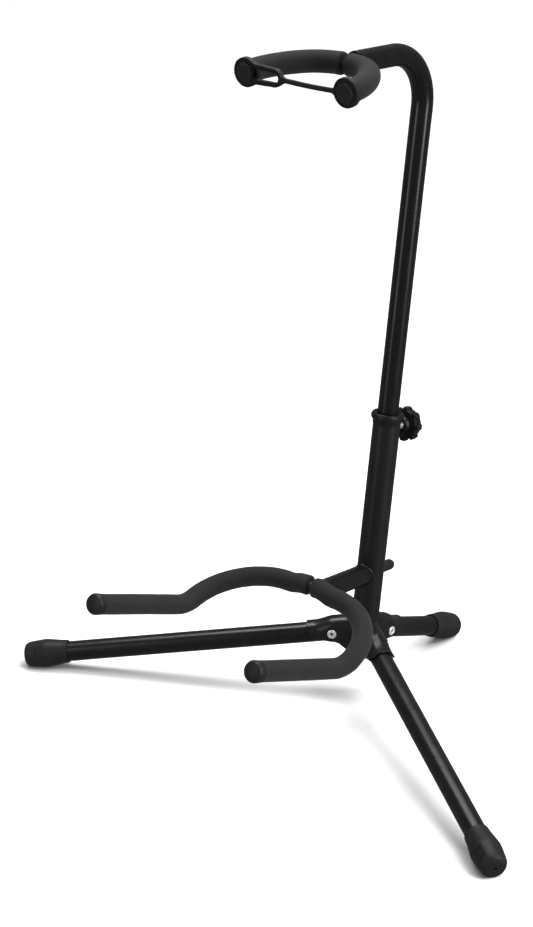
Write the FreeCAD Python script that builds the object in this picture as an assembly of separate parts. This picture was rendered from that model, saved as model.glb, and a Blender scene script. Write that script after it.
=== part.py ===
import FreeCAD, Part
import math
import os

# Folding tubular guitar stand, in millimetres.
# Frame: +Z up, front (the side the guitar stands on) towards -Y, origin on the floor under the
# centre of the stand's bounding box. The mast leans back, towards +Y.

V = FreeCAD.Vector
X, Y, Z = V(1, 0, 0), V(0, 1, 0), V(0, 0, 1)

# ---- driving dimensions -------------------------------------------------------------------
HUB_Y = 58.7                 # mast axis at hub height, behind the origin
HUB_Z = 64.0                 # height where the three leg axes meet the mast axis
LEAN = 7.85                  # mast leans back from upright, degrees

MAST_R = 12.5                # lower mast, 25 mm tube
MAST_WALL = 1.5
MAST_BOTTOM = -24.5          # distances along the mast are counted from hub height
MAST_TOP = 204.0
TUBE_R = 9.5                 # upper mast, legs and cradle stub, 19 mm tube
TUBE_WALL = 1.2
FIT = 0.07                   # radial running clearance of sliding and turning fits
PRESS_GAP = 0.05             # radial gap of parts that are pushed together and stay

COLLAR_R = 14.9
COLLAR_BOTTOM = 201.5
COLLAR_TOP = 208.2
COLLAR_SLEEVE = 197.2        # lower end of the sleeve between the two tubes

GUIDE_BOTTOM = 84.5          # plastic bush on the hidden end of the upper mast
GUIDE_LENGTH = 8.0
BEND_R = 46.0                # gooseneck
BEND_RISE = 3.5              # the neck runs forwards and rises by this angle
BEND_VERTEX = 530.4          # along the mast, where both straight axes would meet
NECK_LENGTH = 100.0          # from that vertex to the front end of the tube

SCREW_HEIGHT = 192.0
SCREW_R = 3.0
KNOB_IN, KNOB_OUT = 25.2, 35.2      # along the screw, from the mast axis
KNOB_R = 16.0
KNOB_CORE_R = 13.7
KNOB_LOBES = 8
NUT_FLANGE_R = 5.6
NUT_BODY_R = 4.45

ROD_R = 4.5                  # bent steel rod of both yokes
FOAM_GAP = 2.8               # half the gap between the two foam sleeves of a yoke
TONGUE_HALF = 2.4            # half thickness of the steel that reaches the rod through that gap
NECK_FOAM_R = 9.6
NECK_ARC_R, NECK_ARC_TURN = 41.5, 49.7     # tight middle of the neck yoke
NECK_SIDE_R = 70.0                         # wide sides of the neck yoke
NECK_FLAT = 3.2              # straight stretch of the rod either side of its middle
NECK_DROP = 2.6              # the neck yoke dips towards its tips, degrees
NECK_ROD_GAP = 11.6          # from the front of the neck tube to the rod's centre

CRADLE_HEIGHT = 55.0         # where the cradle's stub leaves the mast
STUB_RISE = 6.4              # the stub rises forwards by this angle
STUB_LENGTH = 66.0           # round tube, from the mast axis
NOSE_END = 74.5              # front of the oval nose that carries the cradle's rod
NOSE_HALF_WIDTH, NOSE_HALF_HEIGHT, NOSE_LIFT = 6.4, 8.4, 4.6
TONGUE_FOOT = 2.0            # underside of the nose's tongue, above the stub's axis
CRADLE_BACK = 84.8           # rod centre behind the guitar, from the mast axis
CRADLE_CREST = 7.9           # the middle of the rod stands this far above the stub's axis
CRADLE_SHOULDER = 4.6        # and the shoulders beside it this far
CREST_FLAT = 12.0            # where the rod starts down from its crest
CREST_END = 21.5             # where it has reached the shoulder
CREST_TOP_R, CREST_FOOT_R = 40.0, 26.0
CRADLE_FOAM_R = 9.1
CRADLE_HALF = 88.8           # half the distance between the arms
CRADLE_CORNER_R = 62.5
CRADLE_DIP = 14.4            # the back of the cradle falls forwards by this angle
CRADLE_DIP_LENGTH = 70.3
CRADLE_BEND_R = 36.0
CRADLE_RISE = 21.8           # the arms rise forwards by this angle
CRADLE_ARM = 118.0           # from the bend's corner to the end of the foam
ROD_STICK_OUT = 5.0          # rod beyond the foam, inside the end cap

BOLT_R = 3.0
PEG_END = 32.5               # rear end of the bolt's rubber cap, from the mast axis
PEG_R = 5.1

LEG_ANGLE = 57.6             # front legs, either side of straight ahead
FRONT_REACH = 321.6          # from the mast axis to the end of the boot, on plan
REAR_REACH = 142.4
FRONT_END_Z = 9.9           # height of the leg axis at the end of the boot
REAR_END_Z = 8.6
PIVOT = 28.6                 # rivet, from the mast axis along the leg
FRONT_PIVOT_RISE = 1.6       # the front legs' rivets sit a little above their axes
LEG_START = 23.8
SOCKET_END = 52.4           # mouth of a hub channel
SHEET = 1.35                 # pressed steel of the hub
SLACK = 0.3                  # clearance between a leg and the roof of its channel
CHANNEL_R = TUBE_R + 1.0     # inside half width of a hub channel
DOME = 3.1                   # extra height of the channel's roof over the pivot
RIVET_R = 2.9
RIVET_HEAD_R = 4.3
RIVET_BORE_R = 1.5
RIVET_HEAD = 1.2

BOOT_LENGTH = 42.0
BOOT_COVER = 8.0             # rubber beyond the end of the leg tube
BOOT_MOUTH_R = 10.9
BOOT_WIDE_R = 13.4
BOOT_TOE_R = 12.2
BOOT_VENT_R = 1.0

STRAP_RING_R = 12.2
STRAP_T = 4.2
STRAP_RIM = 0.9              # height of the raised edge round the ring and the loop
STRAP_BAND = 3.8
BAND_SAG = 0.7               # the band hangs this far below the plugs' centres
STRAP_LOOP = 30.0            # from the left plug's centre to the round end of the loop
LOOP_END_R, LOOP_ROOT_R = 7.6, 8.5
SLOT_END_R, SLOT_ROOT_R = 4.1, 4.6
PLUG_NECK_R = 5.6
PLUG_HEAD_R = 7.8

# ---- directions ---------------------------------------------------------------------------


def rad(a):
    return math.radians(a)


HUB = V(0, HUB_Y, HUB_Z)
UP = V(0, math.sin(rad(LEAN)), math.cos(rad(LEAN)))          # along the mast
BACK = V(0, math.cos(rad(LEAN)), -math.sin(rad(LEAN)))       # square to the mast, to the rear
STUB = V(0, -math.cos(rad(STUB_RISE)), math.sin(rad(STUB_RISE)))   # along the cradle's stub
STUB_UP = V(0, math.sin(rad(STUB_RISE)), math.cos(rad(STUB_RISE)))


def on_mast(distance):
    return HUB + UP * distance


def stub_at(distance, lift=0.0):
    """Point on the cradle stub's axis, counted forwards from the mast axis."""
    return on_mast(CRADLE_HEIGHT) + STUB * distance + STUB_UP * lift


# ---- shape helpers ------------------------------------------------------------------------


def cylinder(start, direction, radius, length):
    return Part.makeCylinder(radius, length, start, direction)


def pipe(start, direction, outer, inner, length):
    return cylinder(start, direction, outer, length).cut(cylinder(start, direction, inner, length))


def placed(shape, origin, x_axis, z_axis):
    """Moves a shape drawn about the Z axis so that its Z and X axes take these directions."""
    z = FreeCAD.Vector(z_axis).normalize()
    y = z.cross(x_axis).normalize()
    x = y.cross(z)
    matrix = FreeCAD.Matrix(x.x, y.x, z.x, origin.x,
                            x.y, y.y, z.y, origin.y,
                            x.z, y.z, z.z, origin.z,
                            0, 0, 0, 1)
    moved = shape.copy()
    moved.Placement = FreeCAD.Placement(matrix)
    return moved


def turned(profile):
    """Solid of revolution about Z; profile is a closed list of (radius, height) corners."""
    corners = [V(r, 0, h) for r, h in profile]
    face = Part.Face(Part.makePolygon(corners + [corners[0]]))
    return face.revolve(V(0, 0, 0), Z, 360)


def rounded_path(points, radii):
    """Wire through points, with each inner corner rounded by an arc of the radius given for it."""
    edges = []
    here = points[0]
    for before, corner, after, radius in zip(points, points[1:], points[2:], radii):
        to_before = (before - corner).normalize()
        to_after = (after - corner).normalize()
        half = to_before.getAngle(to_after) / 2
        reach = radius / math.tan(half)
        start = corner + to_before * reach
        end = corner + to_after * reach
        bisector = (to_before + to_after).normalize()
        middle = corner + bisector * (radius / math.sin(half) - radius)
        if (start - here).Length > 1e-3:
            edges.append(Part.LineSegment(here, start).toShape())
        edges.append(Part.Arc(start, middle, end).toShape())
        here = end
    if (points[-1] - here).Length > 1e-3:
        edges.append(Part.LineSegment(here, points[-1]).toShape())
    return Part.Wire(edges)


def swept(points, radii, radius):
    """Round bar of this radius along a rounded path."""
    path = rounded_path(points, radii)
    direction = points[1] - points[0]
    section = Part.Wire(Part.Circle(points[0], direction, radius).toShape())
    return path.makePipeShell([section], True, False)


def mirrored(shape):
    return shape.mirror(V(0, 0, 0), X)


def merged(shapes):
    return shapes[0].fuse(shapes[1:]).removeSplitter()


# ---- mast ---------------------------------------------------------------------------------


def lower_mast():
    tube = pipe(on_mast(MAST_BOTTOM), UP, MAST_R, MAST_R - MAST_WALL, MAST_TOP - MAST_BOTTOM)
    nut_hole = cylinder(on_mast(SCREW_HEIGHT), BACK, NUT_BODY_R + PRESS_GAP, 2 * MAST_R)
    bolt_hole = cylinder(stub_at(-2 * MAST_R), STUB, BOLT_R + FIT, 4 * MAST_R)
    return tube.cut([nut_hole, bolt_hole])


def mast_foot_plug():
    plug_r = MAST_R - MAST_WALL - PRESS_GAP
    profile = [(0, -2.5), (MAST_R - 1.5, -2.5), (MAST_R, -1.0), (MAST_R, 0), (plug_r, 0),
               (plug_r, 12), (plug_r - 1.5, 12), (plug_r - 1.5, 0.5), (0, 0.5)]
    return placed(turned(profile), on_mast(MAST_BOTTOM), X, UP)


def mast_collar():
    bore = TUBE_R + FIT
    skirt = MAST_R + 0.1
    sleeve = MAST_R - MAST_WALL - FIT
    seat = MAST_TOP + 0.1
    profile = [(bore, COLLAR_SLEEVE), (sleeve, COLLAR_SLEEVE), (sleeve, seat), (skirt, seat),
               (skirt, COLLAR_BOTTOM), (COLLAR_R - 1.0, COLLAR_BOTTOM), (COLLAR_R, COLLAR_BOTTOM + 1.6),
               (COLLAR_R, COLLAR_TOP - 2.2), (COLLAR_R - 0.8, COLLAR_TOP - 0.7),
               (COLLAR_R - 2.4, COLLAR_TOP), (bore + 1.2, COLLAR_TOP), (bore, COLLAR_TOP - 1.2)]
    return placed(turned(profile), HUB, X, UP)


def neck_frame():
    """Corner of the gooseneck and the direction of its front run."""
    vertex = on_mast(BEND_VERTEX)
    ahead = V(0, -math.cos(rad(BEND_RISE)), math.sin(rad(BEND_RISE)))
    return vertex, ahead


def upper_mast():
    vertex, ahead = neck_frame()
    route = [on_mast(GUIDE_BOTTOM + GUIDE_LENGTH), vertex, vertex + ahead * NECK_LENGTH]
    outer = swept(route, [BEND_R], TUBE_R)
    inner = swept(route, [BEND_R], TUBE_R - TUBE_WALL)
    return outer.cut(inner)


def guide_bush():
    spigot = TUBE_R - TUBE_WALL - PRESS_GAP
    flange = MAST_R - MAST_WALL - FIT
    profile = [(0, 0), (flange - 0.8, 0), (flange, 0.8), (flange, GUIDE_LENGTH),
               (spigot, GUIDE_LENGTH), (spigot, GUIDE_LENGTH + 14), (0, GUIDE_LENGTH + 14)]
    return placed(turned(profile), on_mast(GUIDE_BOTTOM), X, UP)


# ---- clamp --------------------------------------------------------------------------------


def clamp_nut():
    inside = MAST_R - MAST_WALL - 0.8
    outside = MAST_R + 1.4
    centre = on_mast(SCREW_HEIGHT)
    flange = cylinder(centre + BACK * inside, BACK, NUT_FLANGE_R, outside - inside)
    flange = flange.cut(cylinder(on_mast(SCREW_HEIGHT - 20), UP, MAST_R, 40))
    body = cylinder(centre + BACK * inside, BACK, NUT_BODY_R, outside - inside)
    bore = cylinder(centre, BACK, SCREW_R + FIT, 2 * MAST_R)
    return merged([flange, body]).cut(bore)


def clamp_screw():
    tip = TUBE_R + 0.1
    profile = [(0, tip), (SCREW_R - 0.7, tip), (SCREW_R, tip + 0.7), (SCREW_R, KNOB_OUT - 4),
               (0, KNOB_OUT - 4)]
    return placed(turned(profile), on_mast(SCREW_HEIGHT), X, BACK)


def clamp_knob():
    hub_face = KNOB_IN - 3.4
    core = turned([(0, hub_face), (6.6, hub_face), (8.0, KNOB_IN), (KNOB_CORE_R, KNOB_IN + 0.6),
                   (KNOB_CORE_R, KNOB_OUT - 1.2), (KNOB_CORE_R - 1.4, KNOB_OUT), (0, KNOB_OUT)])
    lobe_half = 2.7
    lobe = Part.makeBox(KNOB_R + 1, 2 * lobe_half, KNOB_OUT - KNOB_IN - 1.2,
                        V(0, -lobe_half, KNOB_IN + 0.4))
    lobes = []
    for number in range(KNOB_LOBES):
        one = lobe.copy()
        one.rotate(V(0, 0, 0), Z, number * 360 / KNOB_LOBES)
        lobes.append(one)
    limit = turned([(0, hub_face), (7, hub_face), (KNOB_R - 1.0, KNOB_IN + 0.4), (KNOB_R, KNOB_IN + 1.4),
                    (KNOB_R, KNOB_OUT - 3.4), (KNOB_R - 1.6, KNOB_OUT - 0.8), (0, KNOB_OUT)])
    star = merged([core] + lobes).common(limit)
    bore = cylinder(V(0, 0, 0), Z, SCREW_R + PRESS_GAP, KNOB_OUT - 4 + 0.1)
    return placed(star.cut(bore), on_mast(SCREW_HEIGHT), X, BACK)


# ---- neck yoke ----------------------------------------------------------------------------


def neck_points():
    """Corners of the right half of the neck yoke's rod, and the radii that round them."""
    vertex, ahead = neck_frame()
    middle = vertex + ahead * (NECK_LENGTH + NECK_ROD_GAP)
    dip = V(0, -math.cos(rad(NECK_DROP)), -math.sin(rad(NECK_DROP)))
    side_turn = 90 - NECK_ARC_TURN
    reach_1 = NECK_ARC_R * math.tan(rad(NECK_ARC_TURN / 2))
    reach_2 = NECK_SIDE_R * math.tan(rad(side_turn / 2))
    corner_1 = middle + X * (reach_1 + NECK_FLAT)
    slant = X * math.cos(rad(NECK_ARC_TURN)) + dip * math.sin(rad(NECK_ARC_TURN))
    corner_2 = corner_1 + slant * (reach_1 + reach_2)
    tip = corner_2 + dip * reach_2
    return middle, [corner_1, corner_2], tip, dip, [NECK_ARC_R, NECK_SIDE_R]


def neck_yoke_rod():
    middle, corners, tip, dip, radii = neck_points()
    end = tip + dip * ROD_STICK_OUT
    left = [V(-p.x, p.y, p.z) for p in [end] + corners[::-1]]
    return swept(left + corners + [end], radii[::-1] + radii, ROD_R)


def neck_foam():
    middle, corners, tip, dip, radii = neck_points()
    route = [middle + X * FOAM_GAP] + corners + [tip]
    outer = swept(route, radii, NECK_FOAM_R)
    inner = swept(route, radii, ROD_R + PRESS_GAP)
    return outer.cut(inner)


def neck_stem():
    """Steel plug in the mouth of the neck tube, welded to the rod through the foam gap."""
    vertex, ahead = neck_frame()
    mouth = vertex + ahead * NECK_LENGTH
    plug = cylinder(mouth - ahead * 16, ahead, TUBE_R - TUBE_WALL - PRESS_GAP, 16)
    face = cylinder(mouth, ahead, TUBE_R - 0.3, 1.2)
    bar = cylinder(mouth, ahead, TONGUE_HALF, NECK_ROD_GAP)
    middle = mouth + ahead * NECK_ROD_GAP
    rod = cylinder(middle - X * 20, X, ROD_R, 40)
    return merged([plug, face, bar]).cut(rod)


def neck_end_plug():
    middle, corners, tip, dip, radii = neck_points()
    neck_end = 1.2 + STRAP_T + 0.2
    outer = [(ROD_R + 0.02, 0), (NECK_FOAM_R - 0.3, 0), (NECK_FOAM_R - 0.3, 1.2), (PLUG_NECK_R, 1.2),
             (PLUG_NECK_R, neck_end), (PLUG_HEAD_R, neck_end), (PLUG_HEAD_R, neck_end + 1.2),
             (PLUG_HEAD_R - 0.7, neck_end + 1.9), (0, neck_end + 2.2), (0, ROD_STICK_OUT + 0.1),
             (ROD_R + 0.02, ROD_STICK_OUT + 0.1)]
    return placed(turned(outer), tip, X, dip)


def capsule(x0, r0, x1, r1, z0, height):
    """Plate bounded by two circles on the X axis and their common tangents."""
    angle = math.acos((r0 - r1) / (x1 - x0))
    corners = []
    for x, r in ((x0, r0), (x1, r1)):
        corners.append((V(x + r * math.cos(angle), r * math.sin(angle), z0),
                        V(x + r * math.cos(angle), -r * math.sin(angle), z0)))
    outline = Part.makePolygon([corners[0][0], corners[1][0], corners[1][1], corners[0][1],
                                corners[0][0]])
    web = Part.Face(outline).extrude(V(0, 0, height))
    return merged([web, Part.makeCylinder(r0, height, V(x0, 0, z0)),
                   Part.makeCylinder(r1, height, V(x1, 0, z0))])


def neck_strap():
    """Rubber strap: a ring on the right plug, a narrow band, and a long loop over the left plug."""
    middle, corners, tip, dip, radii = neck_points()
    span = 2 * tip.x
    bottom = 1.2 + 0.1
    rim_bottom = bottom + STRAP_T - STRAP_RIM
    loop_end = span - STRAP_LOOP
    loop_root = span - STRAP_RING_R * 0.7
    band = Part.makeBox(loop_end - STRAP_RING_R, STRAP_BAND, 2.4,
                        V(STRAP_RING_R - 2, BAND_SAG - STRAP_BAND / 2, bottom + 0.9))
    strap = merged([Part.makeCylinder(STRAP_RING_R, STRAP_T, V(0, 0, bottom)),
                    Part.makeCylinder(STRAP_RING_R, STRAP_T, V(span, 0, bottom)), band,
                    capsule(loop_end, LOOP_END_R, loop_root, LOOP_ROOT_R, bottom, STRAP_T)])
    cuts = []
    for x in (0, span):
        cuts.append(Part.makeCylinder(PLUG_NECK_R + 0.1, STRAP_T + 2, V(x, 0, bottom - 1)))
        cuts.append(Part.makeCylinder(STRAP_RING_R - 1.6, STRAP_T, V(x, 0, rim_bottom)))
    cuts.append(capsule(loop_end, SLOT_END_R, loop_root, SLOT_ROOT_R, bottom - 1, STRAP_T + 2))
    cuts.append(capsule(loop_end, LOOP_END_R - 1.6, loop_root, LOOP_ROOT_R - 1.6, rim_bottom, STRAP_T))
    return placed(strap.cut(cuts), tip, X * -1, dip)


# ---- cradle -------------------------------------------------------------------------------


def cradle_stub():
    tube = pipe(stub_at(0), STUB, TUBE_R, TUBE_R - TUBE_WALL, STUB_LENGTH)
    return tube.cut(cylinder(on_mast(CRADLE_HEIGHT - 30), UP, MAST_R, 60))


def cradle_stem():
    """Steel plug in the mouth of the stub, tapped for the bolt. Its oval nose carries an upright
    tongue that is welded to the cradle's rod between the two foam sleeves."""
    plug_length = 24.0
    plug = Part.makeCylinder(TUBE_R - TUBE_WALL - PRESS_GAP, plug_length, V(0, 0, STUB_LENGTH - plug_length))
    round_end = Part.Wire(Part.Circle(V(0, 0, STUB_LENGTH), Z, TUBE_R).toShape())
    tall = Part.Ellipse(V(0, NOSE_LIFT + NOSE_HALF_HEIGHT, NOSE_END), V(NOSE_HALF_WIDTH, NOSE_LIFT, NOSE_END),
                        V(0, NOSE_LIFT, NOSE_END))
    nose = Part.makeLoft([round_end, Part.Wire(tall.toShape())], True)
    tongue = Part.makeBox(2 * TONGUE_HALF, CRADLE_CREST + 1.5 - TONGUE_FOOT, CRADLE_BACK - NOSE_END + 2,
                          V(-TONGUE_HALF, TONGUE_FOOT, NOSE_END - 2))
    rod = Part.makeCylinder(ROD_R, 16, V(-8, CRADLE_CREST, CRADLE_BACK), X)
    tapped = Part.makeCylinder(BOLT_R + PRESS_GAP, 15, V(0, 0, STUB_LENGTH - plug_length - 1))
    return placed(merged([plug, nose, tongue]).cut([rod, tapped]), stub_at(0), X, STUB)


def cradle_points():
    """Corners of the right half of the cradle's rod, up to the end of its foam."""
    middle = stub_at(CRADLE_BACK, CRADLE_CREST)
    dip = V(0, -math.cos(rad(CRADLE_DIP)), -math.sin(rad(CRADLE_DIP)))
    rise = V(0, -math.cos(rad(CRADLE_RISE)), math.sin(rad(CRADLE_RISE)))
    crest = middle + X * CREST_FLAT
    shoulder = stub_at(CRADLE_BACK, CRADLE_SHOULDER) + X * CREST_END
    corner_1 = stub_at(CRADLE_BACK, CRADLE_SHOULDER) + X * CRADLE_HALF
    corner_2 = corner_1 + dip * CRADLE_DIP_LENGTH
    tip = corner_2 + rise * CRADLE_ARM
    radii = [CREST_TOP_R, CREST_FOOT_R, CRADLE_CORNER_R, CRADLE_BEND_R]
    return middle, [crest, shoulder, corner_1, corner_2], tip, rise, radii


def cradle_rod():
    middle, corners, tip, rise, radii = cradle_points()
    end = tip + rise * ROD_STICK_OUT
    left = [V(-p.x, p.y, p.z) for p in [end] + corners[::-1]]
    return swept(left + corners + [end], radii[::-1] + radii, ROD_R)


def cradle_foam():
    middle, corners, tip, rise, radii = cradle_points()
    route = [middle + X * FOAM_GAP] + corners + [tip]
    outer = swept(route, radii, CRADLE_FOAM_R)
    inner = swept(route, radii, ROD_R + PRESS_GAP)
    return outer.cut(inner)


def cradle_end_cap():
    middle, corners, tip, rise, radii = cradle_points()
    r = CRADLE_FOAM_R + 0.2
    profile = [(ROD_R + 0.02, 0), (r - 0.5, 0), (r, 0.5), (r, 3.6), (r - 0.7, 5.2), (r - 2.4, 6.6),
               (r - 5.0, 7.5), (0, 7.8), (0, ROD_STICK_OUT + 0.1), (ROD_R + 0.02, ROD_STICK_OUT + 0.1)]
    return placed(turned(profile), tip, X, rise)


def cradle_bolt():
    """Long bolt from behind the mast, through the mast and the stub, into the stem."""
    head_at = PEG_END - 9.5
    head_length = 6.0
    spacer_at = MAST_R + 0.4
    head = cylinder(stub_at(-head_at), STUB * -1, 4.0, head_length)
    spacer = cylinder(stub_at(-spacer_at), STUB * -1, 4.0, head_at - spacer_at)
    shank = cylinder(stub_at(-head_at), STUB, BOLT_R, head_at + STUB_LENGTH - 11)
    return merged([head, spacer, shank])


def bolt_cap():
    start = MAST_R + 1.8
    bore = 4.0 + PRESS_GAP
    seat = PEG_END - 3.4
    profile = [(bore, start), (PEG_R, start), (PEG_R, PEG_END - 2.2), (PEG_R - 0.8, PEG_END - 0.7),
               (PEG_R - 2.4, PEG_END), (0, PEG_END), (0, seat), (bore, seat)]
    return placed(turned(profile), stub_at(0), X, STUB * -1)


# ---- tripod -------------------------------------------------------------------------------


class Leg:
    """Directions and lengths of one leg: ahead is its plan direction."""

    def __init__(self, plan_angle, reach, end_z, pivot_rise):
        self.plan = V(math.sin(rad(plan_angle)), -math.cos(rad(plan_angle)), 0)
        run = self.plan * reach + V(0, 0, end_z - HUB_Z)
        self.length = run.Length
        self.along = run.normalize()
        self.side = Z.cross(self.plan)
        self.normal = self.along.cross(self.side)
        self.pivot_rise = pivot_rise

    def at(self, distance, rise=0.0, aside=0.0):
        return HUB + self.along * distance + self.normal * rise + self.side * aside

    def pivot(self, aside=0.0):
        return self.at(PIVOT, self.pivot_rise, aside)

    def place(self, shape, distance=0.0):
        """Puts a shape drawn along +Z on the leg's axis, with its X axis up."""
        return placed(shape, self.at(distance), self.normal, self.along)


LEGS = {
    "left": Leg(-LEG_ANGLE, FRONT_REACH, FRONT_END_Z, FRONT_PIVOT_RISE),
    "right": Leg(LEG_ANGLE, FRONT_REACH, FRONT_END_Z, FRONT_PIVOT_RISE),
    "rear": Leg(180, REAR_REACH, REAR_END_Z, 0.0),
}


def arch(leg, distance, radius, lift, depth):
    """Cross-section of a channel: a round top on straight sides."""
    left = leg.at(distance, lift, -radius)
    right = leg.at(distance, lift, radius)
    top = leg.at(distance, lift + radius)
    foot_left = leg.at(distance, -depth, -radius)
    foot_right = leg.at(distance, -depth, radius)
    return Part.Wire([Part.LineSegment(foot_left, left).toShape(), Part.Arc(left, top, right).toShape(),
                      Part.LineSegment(right, foot_right).toShape(),
                      Part.LineSegment(foot_right, foot_left).toShape()])


def channel(leg, radius, stations, depth):
    sections = [arch(leg, distance, radius, lift, depth) for distance, lift in stations]
    return Part.makeLoft(sections, True, True)


def skirt_profile(leg):
    """Side view of a channel: deep plates at the mast, running up to shallow ones at the mouth."""
    outline = [(0, -18.5), (16, -18.5), (18.2, -15.2), (21.5, -11.2), (24, -8.6), (27, -7.2),
               (31, -6.3), (37, -4.6), (46, -1.0), (50.2, 1.0), (SOCKET_END, 3.0), (SOCKET_END, 30),
               (0, 30)]
    corners = [leg.at(s, n, -40) for s, n in outline]
    return Part.Face(Part.makePolygon(corners + [corners[0]])).extrude(leg.side * 80)


def tripod_hub():
    outside, inside, holes = [], [], []
    for leg in LEGS.values():
        roof = TUBE_R + SLACK - CHANNEL_R
        stations = [(0.0, roof + DOME), (PIVOT + 3, roof + DOME), (PIVOT + 13, roof + 0.3),
                    (SOCKET_END, roof)]
        shell = channel(leg, CHANNEL_R + SHEET, stations, 40)
        outside.append(shell.common(skirt_profile(leg)))
        beyond = stations[:-1] + [(SOCKET_END + 5, roof)]
        inside.append(channel(leg, CHANNEL_R, beyond, 45))
        holes.append(cylinder(leg.pivot(-30), leg.side, RIVET_R + PRESS_GAP, 60))
    body = merged(outside)
    mast = cylinder(on_mast(-60), UP, MAST_R + 0.01, 160)
    return body.cut(inside + holes + [mast])


def leg_tube(leg):
    end = leg.length - BOOT_COVER
    tube = pipe(leg.at(LEG_START), leg.along, TUBE_R, TUBE_R - TUBE_WALL, end - LEG_START)
    hole = cylinder(leg.pivot(-30), leg.side, RIVET_R + FIT, 60)
    return tube.cut(hole)


def leg_rivet(leg):
    face = CHANNEL_R + SHEET
    top = face + RIVET_HEAD
    profile = [(RIVET_BORE_R, -top), (RIVET_HEAD_R - 1.2, -top), (RIVET_HEAD_R, -face - 0.35),
               (RIVET_HEAD_R, -face), (RIVET_R, -face), (RIVET_R, face), (RIVET_HEAD_R, face),
               (RIVET_HEAD_R, face + 0.35), (RIVET_HEAD_R - 1.2, top), (RIVET_BORE_R, top)]
    return placed(turned(profile), leg.pivot(), leg.along, leg.side)


def boot(leg):
    start = leg.length - BOOT_LENGTH
    tube_end = BOOT_LENGTH - BOOT_COVER + 0.05
    bore = TUBE_R + PRESS_GAP
    profile = [(bore, 0), (BOOT_MOUTH_R - 0.3, 0), (BOOT_MOUTH_R, 0.4), (BOOT_MOUTH_R + 0.3, 5),
               (BOOT_WIDE_R - 0.3, 18), (BOOT_WIDE_R, 21), (BOOT_WIDE_R - 0.1, 24), (BOOT_TOE_R, 35),
               (BOOT_TOE_R - 0.9, 38.4), (BOOT_TOE_R - 2.6, 41), (BOOT_TOE_R - 4.4, BOOT_LENGTH),
               (BOOT_VENT_R, BOOT_LENGTH), (BOOT_VENT_R, tube_end), (bore, tube_end)]
    shape = leg.place(turned(profile), start)
    floor = Part.makeBox(800, 800, 50, V(-400, -400, -50))
    return shape.cut(floor)


# ---- write --------------------------------------------------------------------------------


def nodes():
    made = {
        "lower_mast": lower_mast(),
        "mast_foot_plug": mast_foot_plug(),
        "mast_collar": mast_collar(),
        "upper_mast": upper_mast(),
        "guide_bush": guide_bush(),
        "clamp_nut": clamp_nut(),
        "clamp_screw": clamp_screw(),
        "clamp_knob": clamp_knob(),
        "neck_yoke_rod": neck_yoke_rod(),
        "neck_stem": neck_stem(),
        "neck_foam_right": neck_foam(),
        "neck_foam_left": mirrored(neck_foam()),
        "neck_plug_right": neck_end_plug(),
        "neck_plug_left": mirrored(neck_end_plug()),
        "neck_strap": neck_strap(),
        "cradle_stub": cradle_stub(),
        "cradle_stem": cradle_stem(),
        "cradle_rod": cradle_rod(),
        "cradle_foam_right": cradle_foam(),
        "cradle_foam_left": mirrored(cradle_foam()),
        "cradle_cap_right": cradle_end_cap(),
        "cradle_cap_left": mirrored(cradle_end_cap()),
        "cradle_bolt": cradle_bolt(),
        "bolt_cap": bolt_cap(),
        "tripod_hub": tripod_hub(),
    }
    for side, leg in LEGS.items():
        made["leg_" + side] = leg_tube(leg)
        made["rivet_" + side] = leg_rivet(leg)
        made["boot_" + side] = boot(leg)
    return made


def main():
    os.makedirs("parts", exist_ok=True)
    for name, shape in nodes().items():
        if not shape.isValid() or len(shape.Solids) != 1:
            print("CHECK", name, "valid", shape.isValid(), "solids", len(shape.Solids))
        shape.exportStep("parts/" + name + ".step")
        box = shape.optimalBoundingBox(False)
        print(f"{name:18s} volume {shape.Volume:9.0f}  x {box.XMin:7.1f} {box.XMax:7.1f}"
              f"  y {box.YMin:7.1f} {box.YMax:7.1f}  z {box.ZMin:6.1f} {box.ZMax:6.1f}")


main()
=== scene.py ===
import math

import bpy
import numpy as np
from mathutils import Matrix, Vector


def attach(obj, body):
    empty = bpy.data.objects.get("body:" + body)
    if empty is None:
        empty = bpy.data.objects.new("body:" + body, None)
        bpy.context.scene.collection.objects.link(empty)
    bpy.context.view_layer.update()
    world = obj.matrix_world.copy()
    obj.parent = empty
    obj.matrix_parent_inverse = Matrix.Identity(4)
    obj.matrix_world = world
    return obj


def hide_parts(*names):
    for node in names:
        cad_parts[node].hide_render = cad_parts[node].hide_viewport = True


# Looks of a folding guitar stand. Lengths in the code are millimetres; MM turns them into metres.
MM = 0.001

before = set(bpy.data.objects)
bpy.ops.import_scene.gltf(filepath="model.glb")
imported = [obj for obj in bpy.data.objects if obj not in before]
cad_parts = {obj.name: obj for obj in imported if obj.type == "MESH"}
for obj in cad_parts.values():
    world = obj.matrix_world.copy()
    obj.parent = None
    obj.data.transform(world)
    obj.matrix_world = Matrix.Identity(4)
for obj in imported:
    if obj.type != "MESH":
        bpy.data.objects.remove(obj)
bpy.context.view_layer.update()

# ---- the frame's driving dimensions, as the CAD has them ------------------------------------
HUB = Vector((0, 58.7, 64.0))
LEAN, BEND_RISE, STUB_RISE, NECK_DROP = (math.radians(a) for a in (7.85, 3.5, 6.4, 2.6))
UP = Vector((0, math.sin(LEAN), math.cos(LEAN)))
BACK = Vector((0, math.cos(LEAN), -math.sin(LEAN)))
STUB = Vector((0, -math.cos(STUB_RISE), math.sin(STUB_RISE)))
STUB_UP = Vector((0, math.sin(STUB_RISE), math.cos(STUB_RISE)))
AHEAD = Vector((0, -math.cos(BEND_RISE), math.sin(BEND_RISE)))
DIP = Vector((0, -math.cos(NECK_DROP), -math.sin(NECK_DROP)))
X, Z = Vector((1, 0, 0)), Vector((0, 0, 1))

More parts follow.
